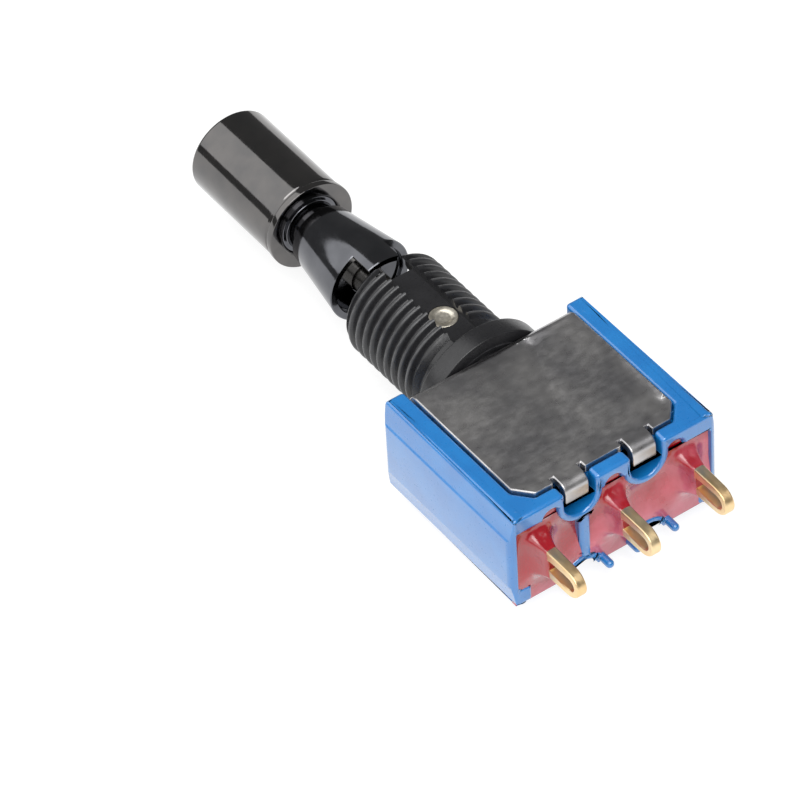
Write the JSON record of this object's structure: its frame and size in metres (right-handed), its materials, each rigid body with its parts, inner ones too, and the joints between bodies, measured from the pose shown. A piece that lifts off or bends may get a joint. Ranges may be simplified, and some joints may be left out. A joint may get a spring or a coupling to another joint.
{
  "type": "toggle switch",
  "caption": "Small panel toggle switch with a threaded bushing, a black locking lever, a blue case in a folded steel frame and gold solder terminals.",
  "frame": {"origin": "centre of the front face of the bushing's shoulder, where the panel seats, on the bushing's axis", "axes": "+Y along the bushing out to the lever's tip, +X along the row of terminals, +Z out of the frame plate on the keyway's side"},
  "size_m": [0.0132, 0.038, 0.0078],
  "materials": {
    "case_plastic": "moulded thermoset plastic, satin",
    "base_plastic": "moulded plastic, satin",
    "red_resin": "cast epoxy resin, glossy",
    "frame_steel": "folded stainless sheet, fine grain, slightly shiny",
    "bushing_black": "black-plated turned metal, satin gloss",
    "pin_steel": "bright staked pin end",
    "seal_rubber": "moulded rubber ring",
    "rod_metal": "turned metal rod",
    "plunger_plastic": "natural moulded plastic",
    "spring_steel": "drawn spring wire",
    "contact_metal": "stamped copper alloy",
    "contact_silver": "silver contact faces",
    "terminal_gold": "gold-plated terminal, bright",
    "sleeve_black": "black turned metal, glossy",
    "cap_black": "black turned metal, glossy",
    "retainer_metal": "turned metal washer"
  },
  "bodies": {
    "housing": {"case_shell": "case_plastic", "terminal_base": "base_plastic", "potting_seal": "red_resin", "frame_bracket": "frame_steel", "bushing": "bushing_black", "pivot_pin": "pin_steel", "bore_seal": "seal_rubber", "terminal_left": "terminal_gold", "terminal_centre": "terminal_gold", "terminal_right": "terminal_gold", "contact_left": "contact_silver", "contact_right": "contact_silver"},
    "lever": {"lever_rod": "rod_metal", "spring_retainer": "retainer_metal", "plunger_spring": "spring_steel", "lock_spring": "spring_steel"},
    "plunger": {"plunger": "plunger_plastic"},
    "rocker": {"rocker_contact": "contact_metal", "rocker_button_left": "contact_silver", "rocker_button_right": "contact_silver"},
    "lock": {"locking_sleeve": "sleeve_black", "lever_cap": "cap_black"}
  },
  "joints": [
    {"name": "lever_tilt", "type": "hinge", "parent": "housing", "child": "lever", "pos_m": [0, 0.00288, 0], "axis": [0, 0, 1], "range_deg": [-12.5, 12.5]},
    {"name": "lock_pull", "type": "slide", "parent": "lever", "child": "lock", "axis": [0, 1, 0], "range_m": [0, 0.0014], "stiffness_N_per_m": 500, "springref_m": -0.001, "deforming": ["lock_spring"]},
    {"name": "plunger_slide", "type": "slide", "parent": "lever", "child": "plunger", "axis": [0, 1, 0], "range_m": [0, 0.0004], "stiffness_N_per_m": 300, "springref_m": -0.001, "deforming": ["plunger_spring"]},
    {"name": "rocker_rock", "type": "hinge", "parent": "housing", "child": "rocker", "pos_m": [0, -0.0045, 0], "axis": [0, 0, 1], "range_deg": [-5.01, 5.01]}
  ],
  "couplings": [
    {"joint": "rocker_rock", "follows": "lever_tilt", "ratio": -0.4}
  ]
}
